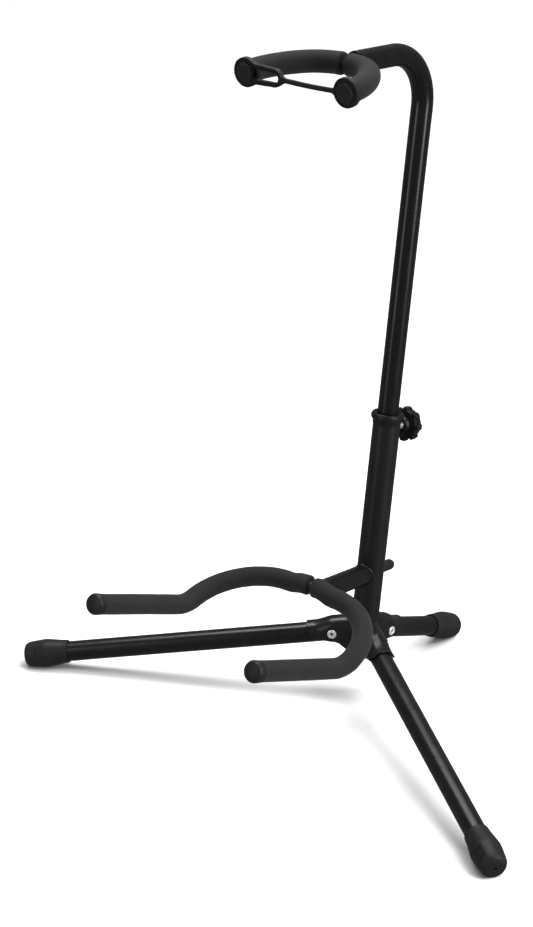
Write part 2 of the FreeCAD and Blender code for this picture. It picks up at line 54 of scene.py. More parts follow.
# Tubes. Distances named _BOTTOM, _TOP, _AT and _HEIGHT run up the mast from the hub's centre.
MAST_R, TUBE_R, ROD_R = 12.5, 9.5, 4.5
MAST_WALL, TUBE_WALL = 1.5, 1.2
MAST_BOTTOM, MAST_TOP, SCREW_HEIGHT = -24.5, 204.0, 192.0
UPPER_BOTTOM, NECK_AT, NECK_BEND_R, NECK_REACH, NECK_STEM = 92.5, 530.4, 46.0, 100.0, 11.6
STUB_AT, STUB_LENGTH = 55.0, 66.0

# Neck yoke and cradle: half of each rod, from the middle outwards. Angles are in degrees.
FOAM_GAP, NECK_FOAM_R, CRADLE_FOAM_R = 2.8, 9.6, 9.1
YOKE_FLAT, YOKE_TURN, YOKE_RADII = 3.2, 49.7, [41.5, 70.0]
CRADLE_AHEAD, CREST_LIFT, SHOULDER_LIFT = 84.8, 7.9, 4.6
CREST_FLAT, CREST_END, CRADLE_HALF = 12.0, 21.5, 88.8
CRADLE_DIP, DIP_LENGTH, CRADLE_RISE, ARM_LENGTH = 14.4, 70.3, 21.8, 118.0
CRADLE_RADII = [40.0, 26.0, 62.5, 36.0]

# Hub, legs and boots
PIVOT, FRONT_PIVOT_RISE, SOCKET_END = 28.6, 1.6, 52.4
SHEET, CHANNEL_R, DOME, ROOF = 1.35, 10.5, 3.1, -0.7
LEG_START, FRONT_SPREAD = 23.8, 57.6
FRONT_REACH, FRONT_END_Z, REAR_REACH, REAR_END_Z = 321.6, 9.9, 142.4, 8.6
BOOT_LENGTH, BOOT_COVER = 42.0, 8.0
PLUG_NECK_R, STRAP_RING_R, STRAP_T = 5.6, 12.2, 4.2


def on_mast(distance):
    """Point on the mast's axis."""
    return HUB + UP * distance


def stub_at(distance, lift=0.0):
    """Point along the cradle's stub, ahead of the mast's axis and above the stub's."""
    return on_mast(STUB_AT) + STUB * distance + STUB_UP * lift


# ---- materials --------------------------------------------------------------------------------


def graph(name):
    """New material with its nodes, links, shader and object coordinates."""
    material = bpy.data.materials.new(name)
    material.use_nodes = True
    nodes, links = material.node_tree.nodes, material.node_tree.links
    shader = nodes["Principled BSDF"]
    place = nodes.new("ShaderNodeTexCoord").outputs["Object"]
    return material, nodes, links, shader, place


def noise(nodes, links, place, size, detail=3.0, roughness=0.55, stretch=None):
    """Noise whose features measure about size millimetres."""
    if stretch:
        mapping = nodes.new("ShaderNodeMapping")
        mapping.inputs["Scale"].default_value = stretch
        links.new(place, mapping.inputs["Vector"])
        place = mapping.outputs["Vector"]
    node = nodes.new("ShaderNodeTexNoise")
    node.inputs["Scale"].default_value = 1 / (size * MM)
    node.inputs["Detail"].default_value = detail
    node.inputs["Roughness"].default_value = roughness
    links.new(place, node.inputs["Vector"])
    return node.outputs["Fac"]


def ramp(nodes, links, value, stops):
    """Colour ramp over value; stops is a list of (position, colour)."""
    node = nodes.new("ShaderNodeValToRGB")
    elements = node.color_ramp.elements
    while len(elements) < len(stops):
        elements.new(0.5)
    for element, (at, colour) in zip(elements, stops):
        element.position = at
        element.color = (*colour, 1)
    links.new(value, node.inputs["Fac"])
    return node.outputs["Color"]


def span(nodes, links, value, low, high, from_low=0.3, from_high=0.7):
    """Maps value from one range to another."""
    node = nodes.new("ShaderNodeMapRange")
    node.inputs["From Min"].default_value = from_low
    node.inputs["From Max"].default_value = from_high
    node.inputs["To Min"].default_value = low
    node.inputs["To Max"].default_value = high
    links.new(value, node.inputs["Value"])
    return node.outputs["Result"]


def bumps(nodes, links, shader, heights):
    """Chains bump nodes; heights is a list of (value, depth in millimetres)."""
    normal = None
    for value, depth in heights:
        node = nodes.new("ShaderNodeBump")
        node.inputs["Distance"].default_value = depth * MM
        node.inputs["Strength"].default_value = 1.0
        links.new(value, node.inputs["Height"])
        if normal:
            links.new(normal, node.inputs["Normal"])
        normal = node.outputs["Normal"]
    links.new(normal, shader.inputs["Normal"])


SPECK_TINT, SPECK_AMOUNT = 2.4, 0.12


def tinted(colour, factor):
    return [c * factor for c in colour]


def coated(name, colour, rough, peel, spread, peel_depth=0.012):
    """Painted or powder-coated steel: orange peel, cloudy gloss and pale specks of dust."""
    material, nodes, links, shader, place = graph(name)
    cloud = noise(nodes, links, place, 26, 4)
    smear = noise(nodes, links, place, 9, 5, stretch=(1, 1, 0.25))
    skin = noise(nodes, links, place, peel, 2, 0.5)
    dust = noise(nodes, links, place, 0.7, 2)
    tone = ramp(nodes, links, cloud, [(0.3, tinted(colour, 0.82)), (0.7, tinted(colour, 1.18))])
    specks = ramp(nodes, links, dust, [(0.70, (0, 0, 0)), (0.78, (1, 1, 1))])
    mix = nodes.new("ShaderNodeMix")
    mix.data_type = "RGBA"
    mix.inputs["B"].default_value = tinted(colour, SPECK_TINT) + [1]
    amount = nodes.new("ShaderNodeMath")
    amount.operation = "MULTIPLY"
    amount.inputs[1].default_value = SPECK_AMOUNT
    links.new(specks, amount.inputs[0])
    links.new(amount.outputs[0], mix.inputs["Factor"])
    links.new(tone, mix.inputs["A"])
    links.new(mix.outputs["Result"], shader.inputs["Base Color"])
    add = nodes.new("ShaderNodeMath")
    add.operation = "ADD"
    links.new(span(nodes, links, smear, rough - spread, rough + spread), add.inputs[0])
    links.new(span(nodes, links, dust, 0.0, 0.05, 0.6, 0.8), add.inputs[1])
    links.new(add.outputs[0], shader.inputs["Roughness"])
    bumps(nodes, links, shader, [(skin, peel_depth), (cloud, 0.02)])
    return material


FOAM_CELL = 0.55


def foam_material():
    """Closed-cell foam: fine cells whose pits carry painted shade, faint mottling, and a soft sheen at
    grazing angles.
    """
    material, nodes, links, shader, place = graph("foam_charcoal")
    mottle = noise(nodes, links, place, 7, 5, 0.6)
    cells = nodes.new("ShaderNodeTexVoronoi")
    cells.inputs["Scale"].default_value = 1 / (FOAM_CELL * MM)
    links.new(place, cells.inputs["Vector"])
    grain = noise(nodes, links, place, 0.35, 3)
    dents = noise(nodes, links, place, 4.0, 2)
    tone = ramp(nodes, links, mottle,
                [(0.3, (0.0125, 0.0125, 0.0120)), (0.7, (0.0170, 0.0170, 0.0163))])
    # Painted shade: the colour darkens towards each cell's centre, where the cell bump sinks into a pit.
    pore_shade = ramp(nodes, links, cells.outputs["Distance"],
                [(0.05, (0.6, 0.6, 0.6)), (0.35, (1, 1, 1))])
    mix = nodes.new("ShaderNodeMix")
    mix.data_type, mix.blend_type = "RGBA", "MULTIPLY"
    mix.inputs["Factor"].default_value = 1.0
    links.new(tone, mix.inputs["A"])
    links.new(pore_shade, mix.inputs["B"])
    links.new(mix.outputs["Result"], shader.inputs["Base Color"])
    links.new(span(nodes, links, mottle, 0.68, 0.82), shader.inputs["Roughness"])
    shader.inputs["Sheen Weight"].default_value = 0.06
    shader.inputs["Sheen Roughness"].default_value = 0.45
    shader.inputs["Specular IOR Level"].default_value = 0.20
    bumps(nodes, links, shader, [(cells.outputs["Distance"], 0.05), (grain, 0.03), (dents, 0.05)])
    return material


def rubber_material(name, colour, rough, grain_size=0.5, grain_depth=0.02):
    """Moulded rubber: fine matt grain with a faint bloom and smoother rubbed patches."""
    material, nodes, links, shader, place = graph(name)
    bloom = noise(nodes, links, place, 8, 5, 0.6)
    grain = noise(nodes, links, place, grain_size, 3)
    flow = noise(nodes, links, place, 3.0, 2)
    tone = ramp(nodes, links, bloom, [(0.3, tinted(colour, 0.85)), (0.72, tinted(colour, 1.25))])
    links.new(tone, shader.inputs["Base Color"])
    links.new(span(nodes, links, bloom, rough - 0.06, rough + 0.06), shader.inputs["Roughness"])
    shader.inputs["Specular IOR Level"].default_value = 0.32
    bumps(nodes, links, shader, [(grain, grain_depth), (flow, 0.03)])
    return material


def metal_material(name, colour, rough, brush, scratch_depth=0.01):
    """Plated or bare steel: fine turning marks, cloudy gloss and small dark stains."""
    material, nodes, links, shader, place = graph(name)
    cloud = noise(nodes, links, place, 2.2, 4)
    marks = noise(nodes, links, place, 0.25, 2, stretch=brush)
    tone = ramp(nodes, links, cloud, [(0.25, tinted(colour, 0.72)), (0.6, colour)])
    links.new(tone, shader.inputs["Base Color"])
    shader.inputs["Metallic"].default_value = 0.6
    links.new(span(nodes, links, cloud, rough - 0.07, rough + 0.1), shader.inputs["Roughness"])
    bumps(nodes, links, shader, [(marks, scratch_depth), (cloud, 0.02)])
    return material


SATIN = coated("satin_black_coat", (0.0055, 0.0055, 0.0054), 0.38, 1.1, 0.06, peel_depth=0.008)
GLOSS = coated("gloss_black_coat", (0.0036, 0.0036, 0.0036), 0.26, 1.6, 0.05, peel_depth=0.004)
LEG = coated("leg_black_coat", (0.0042, 0.0042, 0.0041), 0.30, 1.4, 0.05, peel_depth=0.005)
PRESSED = coated("pressed_black_coat", (0.0055, 0.0055, 0.0053), 0.30, 3.6, 0.07, peel_depth=0.07)
ROD = coated("rod_black_coat", (0.005, 0.005, 0.005), 0.42, 1.2, 0.06)
PLASTIC = rubber_material("moulded_black_plastic", (0.0070, 0.0070, 0.0070), 0.36, 0.8, 0.012)
FOAM = foam_material()
RUBBER = rubber_material("strap_rubber", (0.013, 0.013, 0.0127), 0.52)
CAP_RUBBER = rubber_material("cap_rubber", (0.011, 0.011, 0.0108), 0.45)
BOOT = rubber_material("boot_rubber", (0.0100, 0.0100, 0.0103), 0.50, 0.6, 0.03)
BRIGHT = metal_material("rivet_plating", (0.86, 0.86, 0.84), 0.22, (1, 1, 1))
ZINC = metal_material("zinc_plating", (0.80, 0.80, 0.78), 0.24, (1, 6, 6), 0.02)

# ---- mesh tools ---------------------------------------------------------------------------------


def add_piece(name, vertices, faces, material, body, nodes=(), sharp=40.0):
    """Makes a mesh of points in millimetres, lets it ride on a body and replace CAD nodes."""
    mesh = bpy.data.meshes.new(name)
    points = [tuple(v) for v in np.asarray(vertices, float) * MM]
    mesh.from_pydata(points, [], [tuple(f) for f in faces])
    mesh.validate()
    mesh.update()
    mesh.shade_smooth()
    mesh.set_sharp_from_angle(angle=math.radians(sharp))
    mesh.materials.append(material)
    piece = bpy.data.objects.new(name, mesh)
    bpy.context.scene.collection.objects.link(piece)
    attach(piece, body)
    if nodes:
        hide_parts(*nodes)
    return piece


def bridge(a, b, around, inward=False):
    """Quads between two rings of points, whose first points are a and b."""
    quads = []
    for k in range(around):
        n = (k + 1) % around
        quads.append((a + k, b + k, b + n, a + n) if inward else (a + k, a + n, b + n, b + k))
    return quads


def closed_skin(rings, around, inward=False):
    """Quads round a closed row of rings."""
    faces = []
    for i in range(rings):
        faces.extend(bridge(i * around, ((i + 1) % rings) * around, around, inward))
    return faces


def circle_angles(around):
    """Evenly spaced angles round a circle."""
    return np.arange(around) * 2 * math.pi / around


def basis(z_axis, x_axis):
    """Matrix whose columns are the axes of a frame with this Z and roughly this X."""
    z = z_axis.normalized()
    y = z.cross(x_axis).normalized()
    return np.array([y.cross(z), y, z]).T


def rounded(corners, closed=True, steps=5):
    """Profile with its corners rounded; corners are (r, h) or (r, h, radius)."""
    points = []
    count = len(corners)
    for i, corner in enumerate(corners):
        here = np.array(corner[:2], float)
        radius = corner[2] if len(corner) > 2 else 0.0
        if radius <= 0 or (not closed and i in (0, count - 1)):
            points.append(here)
            continue
        a = np.array(corners[i - 1][:2], float) - here
        b = np.array(corners[(i + 1) % count][:2], float) - here
        la, lb = np.linalg.norm(a), np.linalg.norm(b)
        a, b = a / la, b / lb
        half = math.acos(max(-1.0, min(1.0, float(a @ b)))) / 2
        reach = min(radius / math.tan(half), 0.49 * la, 0.49 * lb)
        centre = here + (a + b) / np.linalg.norm(a + b) * reach / math.cos(half)
        start, end = here + a * reach - centre, here + b * reach - centre
        angle = math.acos(max(-1.0, min(1.0, float(start @ end) / float(start @ start))))
        for k in range(steps + 1):
            t = k / steps
            arm = (start * math.sin((1 - t) * angle) + end * math.sin(t * angle)) / math.sin(angle)
            points.append(centre + arm)
    return points


def turned(profile, origin, z_axis, x_axis, around=72, shape=None):
    """Vertices and faces of a turned part. The profile is closed, or starts and ends on the axis.
    shape(radius, height, angle) may return new radii and heights."""
    profile = [np.asarray(p, float) for p in profile]
    open_ended = profile[0][0] < 1e-6 and profile[-1][0] < 1e-6
    angles = circle_angles(around)
    axes, origin = basis(z_axis, x_axis), np.array(origin)
    rings = profile[1:-1] if open_ended else profile
    vertices, faces = [], []
    for r, h in rings:
        radii, heights = np.full(around, r), np.full(around, h)
        if shape:
            radii, heights = shape(radii, heights, angles)
        local = np.stack([radii * np.cos(angles), radii * np.sin(angles), heights], 1)
        vertices.extend(local @ axes.T + origin)
    count = len(rings)
    for i in range(count - 1 if open_ended else count):
        faces.extend(bridge(i * around, ((i + 1) % count) * around, around))
    if open_ended:
        for ring, point, flip in ((0, profile[0], True), (count - 1, profile[-1], False)):
            vertices.append(axes @ np.array([0, 0, point[1]]) + origin)
            tip = len(vertices) - 1
            for k in range(around):
                n = (k + 1) % around
                a, b = ring * around + k, ring * around + n
                faces.append((tip, b, a) if flip else (tip, a, b))
    return vertices, faces


def lathe(name, profile, origin, z_axis, material, body, nodes=(), around=72, shape=None,
          x_axis=X, sharp=40.0):
    """Adds a turned part as a piece."""
    vertices, faces = turned(profile, origin, z_axis, x_axis, around, shape)
    return add_piece(name, vertices, faces, material, body, nodes, sharp)


def surface_net(field, origin, step):
    """Closed mesh of the zero level of a field sampled on a grid, negative inside."""
    shape = np.array(field.shape) - 1
    count, place = np.zeros(shape), np.zeros((*shape, 3))
    crossings = []
    for axis in range(3):
        u, v = (axis + 1) % 3, (axis + 2) % 3
        low = np.take(field, range(field.shape[axis] - 1), axis)
        high = np.take(field, range(1, field.shape[axis]), axis)
        cross = (low < 0) != (high < 0)
        along = np.where(cross, low / np.where(cross, low - high, 1), 0)
        points = np.moveaxis(np.indices(low.shape).astype(float), 0, -1)
        points[..., axis] += along
        crossings.append((axis, u, v, low, cross))
        for du in (0, 1):
            for dv in (0, 1):
                part = [slice(None)] * 3
                part[u] = slice(du, du + shape[u])
                part[v] = slice(dv, dv + shape[v])
                hit = cross[tuple(part)]
                count += hit
                place += points[tuple(part)] * hit[..., None]
    active = count > 0
    index = -np.ones(shape, int)
    index[active] = np.arange(int(active.sum()))
    vertices = np.array(origin) + step * place[active] / count[active][:, None]
    faces = []
    for axis, u, v, low, cross in crossings:
        at = np.argwhere(cross)
        keep = (at[:, u] > 0) & (at[:, v] > 0) & (at[:, u] < shape[u]) & (at[:, v] < shape[v])
        at = at[keep]
        corners = []
        for du, dv in ((-1, -1), (0, -1), (0, 0), (-1, 0)):
            cell = at.copy()
            cell[:, u] += du
            cell[:, v] += dv
            corners.append(index[cell[:, 0], cell[:, 1], cell[:, 2]])
        quads = np.stack(corners, 1)
        inside_low = low[at[:, 0], at[:, 1], at[:, 2]] < 0
        quads[~inside_low] = quads[~inside_low][:, ::-1]
        faces.extend(quads.tolist())
    return vertices, faces


# ---- paths ------------------------------------------------------------------------------------


def path_points(corners, radii, step):
    """Evenly spaced points along straight runs joined by arcs."""
    points, here = [], np.array(corners[0])
    for before, corner, after, radius in zip(corners, corners[1:], corners[2:], radii):
        corner = np.array(corner)
        a = np.array(before) - corner
        b = np.array(after) - corner
        a, b = a / np.linalg.norm(a), b / np.linalg.norm(b)
        half = math.acos(float(a @ b)) / 2
        reach = radius / math.tan(half)
        start, end = corner + a * reach, corner + b * reach
        centre = corner + (a + b) / np.linalg.norm(a + b) * radius / math.sin(half)
        points.extend(here + (start - here) * t for t in np.linspace(0, 1, 40)[:-1])
        arm_a, arm_b, turn = start - centre, end - centre, math.pi - 2 * half
        for t in np.linspace(0, 1, 60)[:-1]:
            arm = (arm_a * math.sin((1 - t) * turn) + arm_b * math.sin(t * turn)) / math.sin(turn)
            points.append(centre + arm)
        here = end
    points.extend(here + (np.array(corners[-1]) - here) * t for t in np.linspace(0, 1, 40))
    points = np.array(points)
    run = np.concatenate([[0], np.cumsum(np.linalg.norm(np.diff(points, axis=0), axis=1))])
    keep = np.concatenate([[True], np.diff(run) > 1e-6])
    points, run = points[keep], run[keep]
    stations = np.linspace(0, run[-1], max(2, int(round(run[-1] / step)) + 1))
    return np.stack([np.interp(stations, run, points[:, k]) for k in range(3)], 1), stations


def frames_along(points):
    """Tangent and two square directions at each point, carried along without twist."""
    tangents = np.gradient(points, axis=0)
    tangents /= np.linalg.norm(tangents, axis=1)[:, None]
    side = np.cross(tangents[0], (0.0, 0.0, 1.0))
    side /= np.linalg.norm(side)
    sides = []
    for tangent in tangents:
        side = side - tangent * (side @ tangent)
        side /= np.linalg.norm(side)
        sides.append(side)
    sides = np.array(sides)
    return tangents, sides, np.cross(sides, tangents)


def wave(seed, *coordinates):
    """Smooth, repeatable unevenness between about -1 and 1."""
    random = np.random.default_rng(seed)
    total = 0
    for _ in range(5):
        weights = random.uniform(0.35, 1.0, len(coordinates))
        weights = weights * random.choice((-1, 1), len(coordinates))
        phase = sum(w * c for w, c in zip(weights, coordinates))
        total = total + np.sin(phase + random.uniform(0, 6.28))
    return total / 3.2


def foam_sleeve(name, corners, radii, radius, mirror, body, node, seed):
    """Foam tube on a bent rod: rounded cut ends, a little slack, and creases inside the bends."""
    step, around, edge, bore = 1.0, 56, 1.5, ROD_R + 0.25
    points, run = path_points(corners, radii, step)
    tangents, sides, ups = frames_along(points)
    bend = np.gradient(tangents, axis=0) / step
    amount = np.linalg.norm(bend, axis=1)
    amount = np.convolve(np.pad(amount, 6, "edge"), np.ones(13) / 13, "valid")
    inward = bend / np.maximum(np.linalg.norm(bend, axis=1), 1e-9)[:, None]
    angles = circle_angles(around)
    length = run[-1]
    vertices = []
    for i, (point, side, up) in enumerate(zip(points, sides, ups)):
        arms = np.outer(np.cos(angles), side) + np.outer(np.sin(angles), up)
        end = min(run[i], length - run[i])
        shrink = 0.0
        if end < edge:
            shrink = edge - math.sqrt(max(0.0, edge ** 2 - max(0.0, edge - end) ** 2))
        inner = np.clip(arms @ inward[i], 0, 1) ** 2 * min(1.0, amount[i] * 38)
        crease = 0.16 * inner * (np.sin(run[i] * 1.7 + 0.6 * wave(seed, run[i] * 0.2)) - 0.6)
        loose = 0.10 * wave(seed + 1, run[i] * 0.09, angles * 2)
        loose = loose + 0.05 * wave(seed + 2, run[i] * 0.35, angles * 3)
        flare = 0.18 * math.exp(-((end - 2.6) / 2.0) ** 2)
        reach = radius - 0.12 - shrink + crease + loose + flare
        vertices.extend(point + arms * reach[:, None])
    count = len(points)
    for i in range(count - 1, -1, -1):
        arms = np.outer(np.cos(angles), sides[i]) + np.outer(np.sin(angles), ups[i])
        vertices.extend(points[i] + arms * bore)
    vertices = np.array(vertices)
    if mirror:
        vertices[:, 0] *= -1
    faces = closed_skin(2 * count, around, inward=True)
    if mirror:
        faces = [quad[::-1] for quad in faces]
    piece = add_piece(name, vertices, faces, FOAM, body, (node,), 55)
    return piece


def neck_route():
    """Corners of the right half of the neck yoke's rod, and its tip."""
    reach_1 = YOKE_RADII[0] * math.tan(math.radians(YOKE_TURN / 2))
    reach_2 = YOKE_RADII[1] * math.tan(math.radians((90 - YOKE_TURN) / 2))
    middle = on_mast(NECK_AT) + AHEAD * (NECK_REACH + NECK_STEM)
    corner_1 = middle + X * (reach_1 + YOKE_FLAT)
    turn = math.radians(YOKE_TURN)
    slant = X * math.cos(turn) + DIP * math.sin(turn)
    corner_2 = corner_1 + slant * (reach_1 + reach_2)
    tip = corner_2 + DIP * reach_2
    return [middle + X * FOAM_GAP, corner_1, corner_2, tip], tip


def cradle_route():
    """Corners of the right half of the cradle's rod, its tip and the direction of its arm."""
    down, up = math.radians(CRADLE_DIP), math.radians(CRADLE_RISE)
    dip = Vector((0, -math.cos(down), -math.sin(down)))
    rise = Vector((0, -math.cos(up), math.sin(up)))
    middle = stub_at(CRADLE_AHEAD, CREST_LIFT)
    shoulder = stub_at(CRADLE_AHEAD, SHOULDER_LIFT)
    corner_1 = shoulder + X * CRADLE_HALF
    corner_2 = corner_1 + dip * DIP_LENGTH
    tip = corner_2 + rise * ARM_LENGTH
    crest = [middle + X * FOAM_GAP, middle + X * CREST_FLAT, shoulder + X * CREST_END]
    return crest + [corner_1, corner_2, tip], tip, rise


neck_corners, neck_tip = neck_route()
cradle_corners, cradle_tip, cradle_rise = cradle_route()
for side, mirror in (("right", False), ("left", True)):
    foam_sleeve("neck_sleeve_" + side, neck_corners, YOKE_RADII, NECK_FOAM_R, mirror, "upper_mast",
                "neck_foam_" + side, 11 + mirror)
    foam_sleeve("cradle_sleeve_" + side, cradle_corners, CRADLE_RADII, CRADLE_FOAM_R, mirror,
                "stand_base", "cradle_foam_" + side, 21 + mirror)

# ---- end caps and plugs -------------------------------------------------------------------------

# Profiles are (radius, height, corner radius) in millimetres.
cap_profile = rounded([(4.55, 0.1), (8.9, 0.1, 0.4), (9.35, 0.7, 0.3), (9.4, 2.0, 0.3),
                       (9.2, 2.3, 0.2), (9.35, 2.6, 0.2), (9.35, 4.0, 1.6), (8.2, 6.2, 1.8),
                       (4.4, 7.65, 3.0), (0, 7.8)], closed=False)
cap_profile = [(0, 0.6), (4.4, 0.6)] + cap_profile
PLUG_FLANGE, STRAP_SLACK = 1.2, 0.2
head_at = PLUG_FLANGE + STRAP_T + STRAP_SLACK
plug_profile = rounded([(0, 0.05), (9.2, 0.05, 0.4), (9.2, PLUG_FLANGE, 0.4),
                        (PLUG_NECK_R, PLUG_FLANGE, 0.2), (PLUG_NECK_R, head_at, 0.2),
                        (7.8, head_at, 0.35), (7.8, head_at + 1.5, 0.7), (6.6, head_at + 2.0, 0.5),
                        (6.2, head_at + 1.75, 0.3), (0, head_at + 1.95)], closed=False)
for sign, side in ((1, "right"), (-1, "left")):
    flip = Vector((sign, 1, 1))
    lathe("cradle_end_" + side, cap_profile, cradle_tip * flip, cradle_rise, CAP_RUBBER,
          "stand_base", ("cradle_cap_" + side,))
    lathe("neck_button_" + side, plug_profile, neck_tip * flip, DIP, RUBBER, "upper_mast",
          ("neck_plug_" + side,))

peg_profile = rounded([(0, 14.2), (4.9, 14.2, 0.5), (5.05, 16, 0.5), (5.1, 29.2, 2.0),
                       (3.6, 32.1, 1.4), (0, 32.5)], closed=False)
lathe("bolt_end", peg_profile, stub_at(0), STUB * -1, CAP_RUBBER, "stand_base",
      ("bolt_cap",))

foot_profile = rounded([(0, -2.4), (10.6, -2.5, 1.2), (12.3, -1.4, 0.8), (12.45, -0.1, 0.2),
                        (10.9, 0.05, 0.1), (10.8, 6.0), (0, 6.0)], closed=False)
lathe("mast_foot", foot_profile, on_mast(MAST_BOTTOM), UP, PLASTIC, "stand_base",
      ("mast_foot_plug",))

collar_profile = rounded([(9.62, 197.3, 0.2), (10.9, 197.3, 0.2), (10.9, 204.1), (12.6, 204.1),
                          (12.6, 197.9, 0.1), (12.95, 197.9, 0.25), (13.05, 200.9, 0.6),
                          (14.2, 202.3, 0.9), (14.9, 203.6, 1.2), (14.8, 206.2, 1.8),
                          (13.4, 208.0, 1.3), (12.2, 208.1, 0.7), (11.2, 206.9, 0.6),
                          (9.62, 206.6, 0.2)])
lathe("collar_ring", collar_profile, HUB, UP, PLASTIC, "mast_collar",
      ("mast_collar",), 96)

# ---- clamp ---------------------------------------------------------------------------------------

KNOB_IN, KNOB_OUT, KNOB_R, KNOB_CORE_R, LOBES = 25.2, 35.2, 16.0, 13.7, 8
LOBE_HALF, FLANK_SHIFT, FLANK = 2.7, 0.012, 0.026


def lobed(radii, heights, angles):
    """Pulls the rim in to the core between the square lobes."""
    pitch = 2 * math.pi / LOBES
    off = np.abs((angles + pitch / 2) % pitch - pitch / 2)
    rim = np.clip((LOBE_HALF / KNOB_R + FLANK_SHIFT - off) / FLANK, 0, 1)
    core = np.minimum(radii, KNOB_CORE_R)
    return core + (radii - core) * rim * rim * (3 - 2 * rim), heights


knob_profile = rounded([(3.06, KNOB_IN - 3.4), (6.5, KNOB_IN - 3.4, 0.5),
                        (7.6, KNOB_IN - 0.4, 0.8), (13.4, KNOB_IN + 0.3, 0.4),
                        (KNOB_R, KNOB_IN + 0.9, 0.9), (KNOB_R, KNOB_OUT - 2.1, 1.6),
                        (13.5, KNOB_OUT - 0.7, 0.9), (11.6, KNOB_OUT, 0.7),
                        (10.4, KNOB_OUT - 0.1, 0.4), (9.6, KNOB_OUT - 0.6, 0.5),
                        (0, KNOB_OUT - 0.75)], closed=False)
knob_profile = [(0, KNOB_OUT - 3.9), (3.06, KNOB_OUT - 3.9)] + knob_profile
lathe("knob", knob_profile, on_mast(SCREW_HEIGHT), BACK, PLASTIC, "clamp_knob",
      ("clamp_knob",), 384, lobed, sharp=32)


def threaded(start, end, crest, root, pitch, around=48, step=0.125):
    """Right-hand thread about Z from start to end, running out in a cone at its tip."""
    rows = int(round((end - start) / step)) + 1
    heights = np.linspace(start, end, rows)
    angles = circle_angles(around)
    vertices = []
    for h in heights:
        phase = (h / pitch - angles / (2 * math.pi)) % 1.0
        tooth = np.clip(1.25 - np.abs(phase - 0.5) * 3.1, 0, 1)
        reach = root + (crest - root) * tooth
        reach = np.minimum(reach, root - 0.2 + (h - start) * 1.1)
        level = np.full(around, h)
        vertices.extend(np.stack([reach * np.cos(angles), reach * np.sin(angles), level], 1))
    faces = []
    for i in range(rows - 1):
        faces.extend(bridge(i * around, (i + 1) * around, around))
    vertices += [(0, 0, start), (0, 0, end)]
    low, high, last = rows * around, rows * around + 1, (rows - 1) * around
    for k in range(around):
        n = (k + 1) % around
        faces.append((low, n, k))
        faces.append((high, last + k, last + n))
    return np.array(vertices), faces


SCREW_TIP, SCREW_R, SCREW_ROOT_R, SCREW_PITCH = 9.6, 3.0, 2.42, 1.0
thread, thread_faces = threaded(SCREW_TIP, KNOB_OUT - 4.0, SCREW_R, SCREW_ROOT_R, SCREW_PITCH)
thread = thread @ basis(BACK, X).T + np.array(on_mast(SCREW_HEIGHT))
add_piece("clamp_thread", thread, thread_faces, ZINC, "clamp_screw",
          ("clamp_screw",), 50)

# ---- tubes -------------------------------------------------------------------------------------------


def tube_mesh(points, outer, inner, around=72, cut_start=None):
    """Closed pipe along points with slightly rounded edges; cut_start gives a shaped first end."""
    tangents, sides, ups = frames_along(points)
    angles = circle_angles(around)
    vertices = []

    def ring(i, radius, shift=0.0):
        arms = np.outer(np.cos(angles), sides[i]) + np.outer(np.sin(angles), ups[i])
        extra = cut_start(radius, angles) if cut_start is not None and i == 0 else 0.0
        moved = np.outer(np.full(around, shift) + extra, tangents[i])
        vertices.extend(points[i] + arms * radius + moved)

    count, edge = len(points), 0.25
    ring(0, outer - edge)
    ring(0, outer, edge)
    for i in range(1, count - 1):
        ring(i, outer)
    ring(count - 1, outer, -edge)
    ring(count - 1, outer - edge)
    ring(count - 1, inner)
    for i in range(count - 2, 0, -1):
        ring(i, inner)
    ring(0, inner)
    return np.array(vertices), closed_skin(len(vertices) // around, around, inward=True)


def straight(start, end, step=4.0):
    """Points about step apart on a straight line."""
    count = max(3, int((end - start).length / step) + 1)
    return np.array([start.lerp(end, t) for t in np.linspace(0, 1, count)])


mast_line = straight(on_mast(MAST_BOTTOM), on_mast(MAST_TOP))
vertices, faces = tube_mesh(mast_line, MAST_R, MAST_R - MAST_WALL, 96)
add_piece("mast_lower_tube", vertices, faces, SATIN, "stand_base", ("lower_mast",))

vertex = on_mast(NECK_AT)
mast_run, _ = path_points([on_mast(UPPER_BOTTOM), vertex, vertex + AHEAD * NECK_REACH],
                          [NECK_BEND_R], 2.0)
vertices, faces = tube_mesh(mast_run, TUBE_R, TUBE_R - TUBE_WALL, 96)
add_piece("mast_upper_tube", vertices, faces, GLOSS, "upper_mast", ("upper_mast",))


def saddle(radius, angles):
    """How far from the mast's axis a stub tube of this radius meets the mast, at each angle."""
    cos_lean = STUB.dot(BACK)
    across = radius * np.cos(angles)
    rise = radius * np.sin(angles)
    depth = -np.sqrt(np.maximum(MAST_R ** 2 - across ** 2, 0))
    return (depth - rise * STUB_UP.dot(BACK)) / cos_lean


# The first points inside the mast are left out, because the saddle end reaches past them.
stub_run = straight(stub_at(0), stub_at(STUB_LENGTH), 3.0)
stub_run = np.concatenate([stub_run[:1], stub_run[6:]])
stub_tangents, stub_sides, stub_ups = frames_along(stub_run)
flip_side = 1.0 if Vector(stub_ups[0]).dot(STUB_UP) > 0 else -1.0
vertices, faces = tube_mesh(stub_run, TUBE_R, TUBE_R - TUBE_WALL, 96,
                            lambda radius, angles: saddle(radius, angles * flip_side))
weld_around, weld_section, weld_r = 160, 10, 1.25
weld_angles = circle_angles(weld_around)
weld_reach = saddle(TUBE_R, weld_angles * flip_side)
weld = []
for angle, reach in zip(weld_angles, weld_reach):
    arm = math.cos(angle) * stub_sides[0] + math.sin(angle) * stub_ups[0]
    centre = stub_run[0] + stub_tangents[0] * (reach + 0.3) + arm * TUBE_R
    size = weld_r + 0.10 * math.sin(angle * 26) + 0.12 * wave(31, angle * 2)
    for k in range(weld_section):
        turn = 2 * math.pi * k / weld_section
        out = math.cos(turn) * arm + 1.2 * math.sin(turn) * stub_tangents[0]
        weld.append(centre + size * out)
first = len(vertices)
vertices = np.concatenate([vertices, weld])
